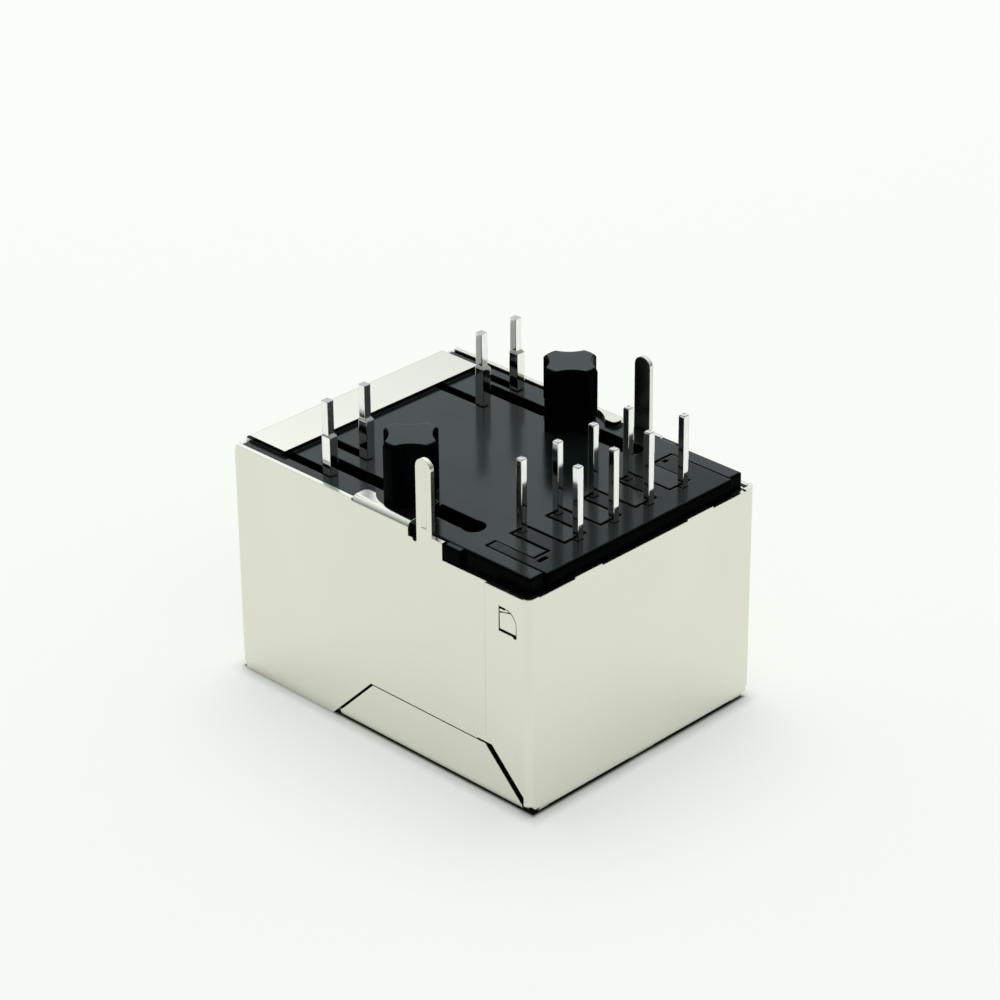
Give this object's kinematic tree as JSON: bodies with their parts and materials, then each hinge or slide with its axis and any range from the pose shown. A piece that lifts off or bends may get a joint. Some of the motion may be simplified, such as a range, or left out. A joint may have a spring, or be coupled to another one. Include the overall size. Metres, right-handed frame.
{
  "type": "board jack",
  "caption": "Shielded right-angle board jack for a modular network plug, with built-in magnetics and indicator lamps, shown with its solder pins up.",
  "frame": {"origin": "bottom centre of the bounding box: the middle of the cover panel's outer face, on which the jack rests", "axes": "+Z out of the board side, where the pegs, pins and solder tabs stand; +Y along the length towards the rear panel, so that the mouth faces -Y; +X across the jack, to the right as seen from the mouth with the pins up"},
  "size_m": [0.0164, 0.0214, 0.0171],
  "materials": {
    "shield_sheet": "satin nickel plating",
    "housing_plastic": "satin moulded",
    "carrier_plastic": "satin moulded",
    "block_plastic": "satin moulded",
    "board_laminate": "solder mask",
    "lamp_green": "clear tinted",
    "lamp_yellow": "clear tinted",
    "contact_plating": "gold plated",
    "pin_plating": "bright tin plated",
    "core_ferrite": "matte",
    "winding_wire": "enamelled copper",
    "chip_black": "matte",
    "chip_ceramic": "matte"
  },
  "bodies": {
    "root": {"shield": "shield_sheet", "housing": "housing_plastic", "pin_carrier": "carrier_plastic", "contact_block": "block_plastic", "circuit_board": "board_laminate", "lamp_left": "lamp_green", "lamp_right": "lamp_yellow", "lamp_lead_1": "pin_plating", "lamp_lead_2": "pin_plating", "lamp_lead_3": "pin_plating", "lamp_lead_4": "pin_plating", "contact_1": "contact_plating", "contact_2": "contact_plating", "contact_3": "contact_plating", "contact_4": "contact_plating", "contact_5": "contact_plating", "contact_6": "contact_plating", "contact_7": "contact_plating", "contact_8": "contact_plating", "signal_pin_1": "pin_plating", "signal_pin_2": "pin_plating", "signal_pin_3": "pin_plating", "signal_pin_4": "pin_plating", "signal_pin_5": "pin_plating", "signal_pin_6": "pin_plating", "signal_pin_7": "pin_plating", "signal_pin_8": "pin_plating", "ring_core_1": "core_ferrite", "ring_core_2": "core_ferrite", "ring_core_3": "core_ferrite", "ring_core_4": "core_ferrite", "winding_1": "winding_wire", "winding_2": "winding_wire", "winding_3": "winding_wire", "winding_4": "winding_wire", "resistor_1": "chip_black", "resistor_2": "chip_black", "resistor_3": "chip_black", "resistor_4": "chip_black", "capacitor": "chip_ceramic"}
  },
  "joints": []
}
